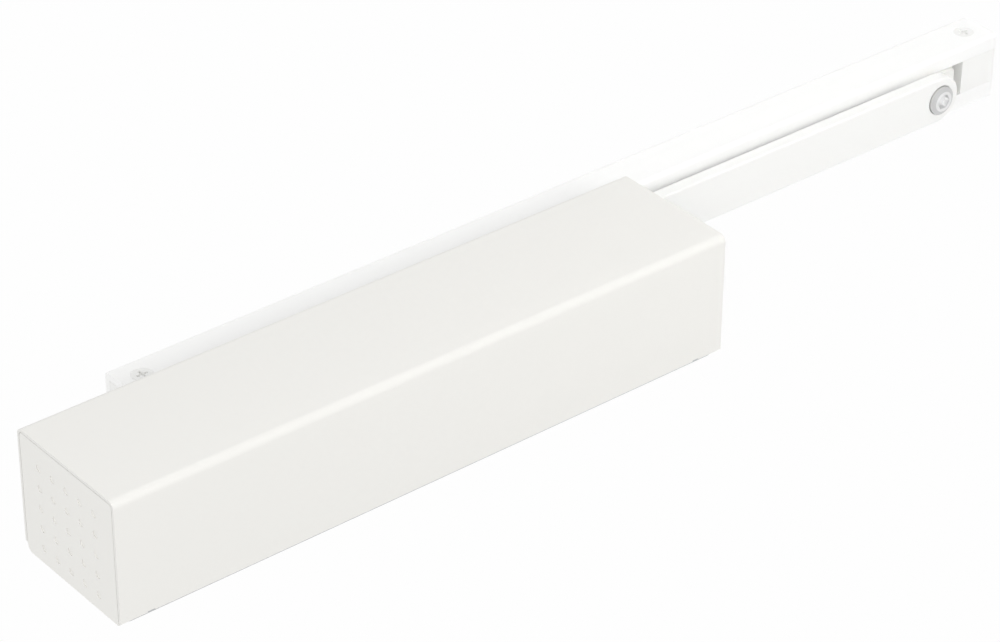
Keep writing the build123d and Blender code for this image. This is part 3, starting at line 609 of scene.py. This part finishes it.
@dataclass
class SubAssembly:
    """Pieces that belong together: each finish with the CAD nodes that it covers."""

    coats: Coats = ()

    def build(self) -> None:
        """Gives every node its finish and adds the sub-assembly's own pieces."""
        for finish, nodes in self.coats:
            for node in nodes:
                for material_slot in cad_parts[node].material_slots:
                    material_slot.material = finish.material()
                log.info("%s: %s", node, finish.name)
        self.add_pieces()

    def add_pieces(self) -> None:
        """Adds nothing, unless a sub-assembly has small parts of its own."""


@dataclass
class Cover(SubAssembly):
    """The folded cover with its two moulded ends."""

    coats: Coats = (
        (COVER_COAT, ("cover_shell",)),
        (CAP_PLASTIC, ("end_cap_left", "end_cap_right")),
    )


@dataclass
class Arm(SubAssembly):
    """The arm, the screw that holds it on the spindle, and its pivot on the slider."""

    coats: Coats = (
        (ARM_COAT, ("arm",)),
        (SCREW_STEEL, ("arm_screw", "slider_nut")),
        (BRONZE, ("pivot_bush",)),
        (BOLT_STEEL, ("pivot_bolt",)),
        (SLIDER_PLASTIC, ("slider_block",)),
    )


@dataclass
class Rail(SubAssembly):
    """The slide rail with its end plugs, and the two countersunk screws that fix it."""

    coats: Coats = (
        (RAIL_COAT, ("slide_rail",)),
        (PLUG_PLASTIC, ("rail_plug_left", "rail_plug_right")),
    )
    head_radius_mm: float = 4.35
    neck_radius_mm: float = 2.6
    head_sunk_mm: float = 0.1
    hole_inset_mm: float = 9.75
    shank_mm: float = 24.0
    recess_length_mm: float = 4.8
    recess_width_mm: float = 1.1
    recess_depth_mm: float = 0.9
    sides: int = 48

    def add_pieces(self) -> None:
        """Adds a screw in each of the rail's two holes."""
        low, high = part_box("slide_rail")
        height = (low[2] + high[2]) / 2
        inset = self.hole_inset_mm * MM
        for side, x in (("left", low[0] + inset), ("right", high[0] - inset)):
            face = Vector((x, low[1] + self.head_sunk_mm * MM, height))
            self.screw(f"rail_screw_{side}", face)

    def screw(self, name: str, face: Vector) -> None:
        """Makes a countersunk screw with a cross recess, pointing along +Y.

        Args:
            name: The piece's name.
            face: The middle of its head's face.
        """
        shape = bmesh.new()
        head_radius = self.head_radius_mm * MM
        bmesh.ops.create_circle(shape, radius=head_radius, segments=self.sides, cap_ends=True)
        cone_mm = self.head_radius_mm - self.neck_radius_mm
        cone_narrowing = self.neck_radius_mm / self.head_radius_mm
        loop = list(shape.edges)
        for narrowing, reach_mm in ((cone_narrowing, cone_mm), (1.0, self.shank_mm - cone_mm)):
            grown = bmesh.ops.extrude_edge_only(shape, edges=loop)["geom"]
            corners = [part for part in grown if isinstance(part, bmesh.types.BMVert)]
            bmesh.ops.scale(shape, vec=(narrowing, narrowing, 1.0), verts=corners)
            bmesh.ops.translate(shape, vec=(0.0, 0.0, -reach_mm * MM), verts=corners)
            loop = [part for part in grown if isinstance(part, bmesh.types.BMEdge)]
        bmesh.ops.contextual_create(shape, geom=loop)
        turn = Matrix.Rotation(math.radians(90), 4, "X")
        bmesh.ops.transform(shape, matrix=turn, verts=shape.verts)
        bmesh.ops.translate(shape, vec=face, verts=shape.verts)
        piece = finished_piece(name, shape, SCREW_COAT)
        self.cut_recess(piece, face)
        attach(piece, "rail")

    def cut_recess(self, piece: bpy.types.Object, face: Vector) -> None:
        """Cuts the cross recess into a screw's head.

        Args:
            piece: The screw.
            face: The middle of its head's face.
        """
        size_mm = (self.recess_length_mm, 2 * self.recess_depth_mm, self.recess_width_mm)
        for turned in (0, 90):
            cutter = bmesh.new()
            bmesh.ops.create_cube(cutter, size=1.0)
            bmesh.ops.scale(cutter, vec=Vector(size_mm) * MM, verts=cutter.verts)
            seat = Matrix.Translation(face) @ Matrix.Rotation(math.radians(turned), 4, "Y")
            bmesh.ops.transform(cutter, matrix=seat, verts=cutter.verts)
            tool = placed_object("recess", cutter)
            cut = piece.modifiers.new("recess", "BOOLEAN")
            cut.object = tool
            cut.solver = "EXACT"
            layer = bpy.context.view_layer
            layer.update()
            carved = bpy.data.meshes.new_from_object(piece.evaluated_get(layer.depsgraph))
            piece.modifiers.clear()
            piece.data = carved
            bpy.data.objects.remove(tool)


@dataclass
class Housing(SubAssembly):
    """The plate, the casting on it with its bearings, and the marks cast beside the valves."""

    valves: tuple[str, ...] = (
        "closing_speed_valve",
        "latching_speed_valve",
        "backcheck_valve",
        "delayed_closing_valve",
    )
    coats: Coats = (
        (PLATE_STEEL, ("mounting_plate",)),
        (SCREW_STEEL, ("housing_screws",)),
        (CAST_ALUMINIUM, ("closer_housing",)),
        (TURNED_ALUMINIUM, ("lower_bearing_cap",)),
        (BRONZE, ("upper_bearing", "lower_bearing")),
        (SEAL_RUBBER, ("spindle_seal",)),
        (VALVE_BRASS, valves),
    )
    mark_radius_mm: float = 5.4
    mark_width_mm: float = 0.7
    mark_rise_mm: float = 0.2
    mark_sweep_degrees: float = 110.0
    mark_steps: int = 18

    def add_pieces(self) -> None:
        """Adds a raised arc beside each regulating valve, on the rib's face."""
        rib_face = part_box("closer_housing")[0][1]
        for valve in self.valves:
            low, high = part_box(valve)
            middle = Vector(((low[0] + high[0]) / 2, rib_face, (low[2] + high[2]) / 2))
            self.mark(f"{valve}_mark", middle)

    def mark(self, name: str, middle: Vector) -> None:
        """Makes one arc round its valve, half sunk in the casting.

        Args:
            name: The piece's name.
            middle: The valve's axis on the rib's face.
        """
        shape = bmesh.new()
        bmesh.ops.create_grid(shape, x_segments=1, y_segments=1, size=MM / 2)
        section_size = (self.mark_width_mm, 2 * self.mark_rise_mm, 1.0)
        bmesh.ops.scale(shape, vec=section_size, verts=shape.verts)
        offset = Vector((self.mark_radius_mm * MM, 0.0, 0.0))
        bmesh.ops.translate(shape, vec=middle + offset, verts=shape.verts)
        bmesh.ops.spin(
            shape,
            geom=list(shape.verts) + list(shape.edges) + list(shape.faces),
            cent=middle,
            axis=Axis.Y.value,
            angle=math.radians(self.mark_sweep_degrees),
            steps=self.mark_steps,
        )
        piece = finished_piece(name, shape, CAST_ALUMINIUM)
        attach(piece, "closer_body")


@dataclass
class Works(SubAssembly):
    """What runs in the bore: spindle, pistons, rollers, springs, plugs, seals and check valves."""

    coats: Coats = (
        (
            SPINDLE_STEEL,
            (
                "spindle",
                "closing_roller",
                "damping_roller",
                "closing_roller_pin",
                "damping_roller_pin",
            ),
        ),
        (PISTON_STEEL, ("closing_piston", "damping_piston")),
        (SPRING_STEEL, ("damping_return_spring",)),
        (TURNED_ALUMINIUM, ("spring_end_plug", "damping_end_plug", "spring_seat")),
        (SCREW_STEEL, ("force_adjusting_screw",)),
        (SEAL_RUBBER, ("spring_plug_seal", "damping_plug_seal")),
        (VALVE_BRASS, ("closing_check_valve", "damping_check_valve")),
    )

    def add_pieces(self) -> None:
        """Halves the closing spring, each half named for the seat or the piston at its end."""
        low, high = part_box("main_spring")
        middle = (low + high) / 2
        for body, end in (("spring_seat", low.x), ("closing_piston", high.x)):
            self.spring_half(body, middle, Vector((end, middle.y, middle.z)))

    def spring_half(self, body: str, middle: Vector, end: Vector) -> None:
        """Copies the half of the closing spring on the side of its end, cut at its middle and
        closed there.

        Args:
            body: The body at its end, which the half is named for.
            middle: The spring's middle, where the two halves meet.
            end: The end of this half.
        """
        half = bmesh.new()
        half.from_mesh(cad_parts["main_spring"].data)
        bmesh.ops.remove_doubles(half, verts=half.verts, dist=MERGE_DISTANCE)
        bmesh.ops.bisect_plane(
            half,
            geom=list(half.verts) + list(half.edges) + list(half.faces),
            plane_co=middle,
            plane_no=middle - end,
            clear_outer=True,
        )
        rim = [edge for edge in half.edges if edge.is_boundary]
        bmesh.ops.holes_fill(half, edges=rim, sides=0)
        for face in half.faces:
            face.smooth = True
        piece = finished_piece(f"main_spring_by_{body}", half, SPRING_STEEL)
        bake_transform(piece)
        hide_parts("main_spring")


@dataclass(frozen=True)
class Lamp:
    """A soft square lamp, in metres and watts.

    It is wide open and aimed at the closer's origin unless it says otherwise.
    """

    name: str
    place: tuple[float, float, float]
    power: float
    size: float
    aim: tuple[float, float, float] = (0.0, 0.0, 0.0)
    spread_degrees: float = 180.0

    def hang(self) -> None:
        """Adds the lamp to the scene."""
        light = bpy.data.lights.new(self.name, "AREA")
        light.energy = self.power
        light.size = self.size
        light.spread = math.radians(self.spread_degrees)
        lamp = bpy.data.objects.new(self.name, light)
        beam = Vector(self.aim) - Vector(self.place)
        turn = beam.to_track_quat("-Z", "Y").to_matrix().to_4x4()
        lamp.matrix_world = Matrix.Translation(self.place) @ turn
        bpy.context.scene.collection.objects.link(lamp)


@dataclass
class Studio:
    """White surroundings, a floor far below, soft lamps, and the camera.

    Lengths are in metres where their names don't say millimetres.
    """

    floor_drop: float = 8.0
    floor_size: float = 80.0
    floor_colour: str = "#FAFAFA"
    floor_roughness: float = 0.9
    sky_colour: str = "#FFFFFF"
    sky_strength: float = 0.665
    white: str = "#FEFEFE"
    lamps: tuple[Lamp, ...] = (
        Lamp("lamp_below_in_front", place=(-0.15, -0.85, -1.2), power=8.8, size=0.5),
        Lamp("wide_lamp_above_in_front", place=(0.6, -1.9, 0.8), power=4.7, size=1.2),
        Lamp("wide_lamp_at_left", place=(-2.4, -0.35, -0.3), power=14.2, size=1.5),
        Lamp(
            "narrow_lamp_on_arm_end",
            place=(-0.75, -0.8, -0.92),
            power=0.045,
            size=0.3,
            aim=(0.28, -0.02, -0.02),
            spread_degrees=14.0,
        ),
    )
    camera_mm: tuple[float, float, float] = (-659.2, -754.1, -866.9)
    aim_mm: tuple[float, float, float] = (48.2, -39.7, -6.7)
    bank_degrees: float = -0.42
    lens_mm: float = 127.68
    nearest_seen: float = 0.05

    def build(self) -> None:
        """Makes the world, the floor, the lamps and the camera."""
        self.sky()
        self.floor()
        for lamp in self.lamps:
            lamp.hang()
        self.camera()

    def shown_white(
        self, tree: bpy.types.NodeTree, kind: str, lit: bpy.types.NodeSocket
    ) -> bpy.types.NodeSocket:
        """Shows plain white to the camera and to mirrored and bent rays, and lights the rest.

        Args:
            tree: The world's or material's node tree.
            kind: The type of the shader that gives the plain white.
            lit: The shader that the other rays meet.

        Returns:
            The mixed shader.
        """
        plain = add_node(tree, kind, {"Color": linear(self.white), "Strength": 1.0}).outputs[0]
        rays = add_node(tree, "ShaderNodeLightPath").outputs
        seen = rays["Is Camera Ray"]
        for ray in ("Is Glossy Ray", "Is Transmission Ray"):
            either = {0: seen, 1: rays[ray]}
            seen = add_node(tree, "ShaderNodeMath", None, either, operation="MAXIMUM").outputs[0]
        shaders = {0: seen, 1: lit, 2: plain}
        return add_node(tree, "ShaderNodeMixShader", None, shaders).outputs[0]

    def sky(self) -> None:
        """Lights the closer evenly from all round."""
        world = bpy.data.worlds.new("studio_sky")
        bpy.context.scene.world = world
        world.use_nodes = True
        tree = world.node_tree
        light = tree.nodes["Background"]
        light.inputs["Color"].default_value = linear(self.sky_colour)
        light.inputs["Strength"].default_value = self.sky_strength
        shown = self.shown_white(tree, "ShaderNodeBackground", light.outputs[0])
        tree.links.new(shown, tree.nodes["World Output"].inputs["Surface"])

    def floor(self) -> None:
        """Lays a pale floor so far below the closer that views from below stay above it."""
        shape = bmesh.new()
        bmesh.ops.create_grid(shape, x_segments=1, y_segments=1, size=self.floor_size / 2)
        bmesh.ops.translate(shape, vec=(0.0, 0.0, -self.floor_drop), verts=shape.verts)
        floor = placed_object("floor", shape)
        pale = bpy.data.materials.new("floor_pale")
        pale.use_nodes = True
        tree = pale.node_tree
        matt = tree.nodes["Principled BSDF"]
        matt.inputs["Base Color"].default_value = linear(self.floor_colour)
        matt.inputs["Roughness"].default_value = self.floor_roughness
        shown = self.shown_white(tree, "ShaderNodeEmission", matt.outputs[0])
        tree.links.new(shown, tree.nodes["Material Output"].inputs["Surface"])
        floor.data.materials.append(pale)

    def camera(self) -> None:
        """Stands the camera where the photograph was taken, with the door face downward in it."""
        place = Vector(self.camera_mm) * MM
        forward = (Vector(self.aim_mm) * MM - place).normalized()
        out_of_door = -Vector(Axis.Y.value)
        right = forward.cross(out_of_door).normalized()
        upright = Matrix((right, right.cross(forward), -forward)).transposed()
        bank = Matrix.Rotation(math.radians(self.bank_degrees), 3, forward)
        lens = bpy.data.cameras.new("camera")
        lens.lens = self.lens_mm
        lens.clip_start = self.nearest_seen
        camera = bpy.data.objects.new("camera", lens)
        camera.matrix_world = Matrix.Translation(place) @ (bank @ upright).to_4x4()
        bpy.context.scene.collection.objects.link(camera)
        bpy.context.scene.camera = camera


def main() -> None:
    """Dresses every sub-assembly, lights it and sets the camera."""
    logging.basicConfig(level=logging.INFO, format="%(name)s: %(message)s")
    bpy.context.scene.view_settings.view_transform = "Standard"
    for part in (Cover(), Arm(), Rail(), Housing(), Works(), Studio()):
        part.build()
    bpy.context.view_layer.update()


if __name__ == "__main__":
    main()
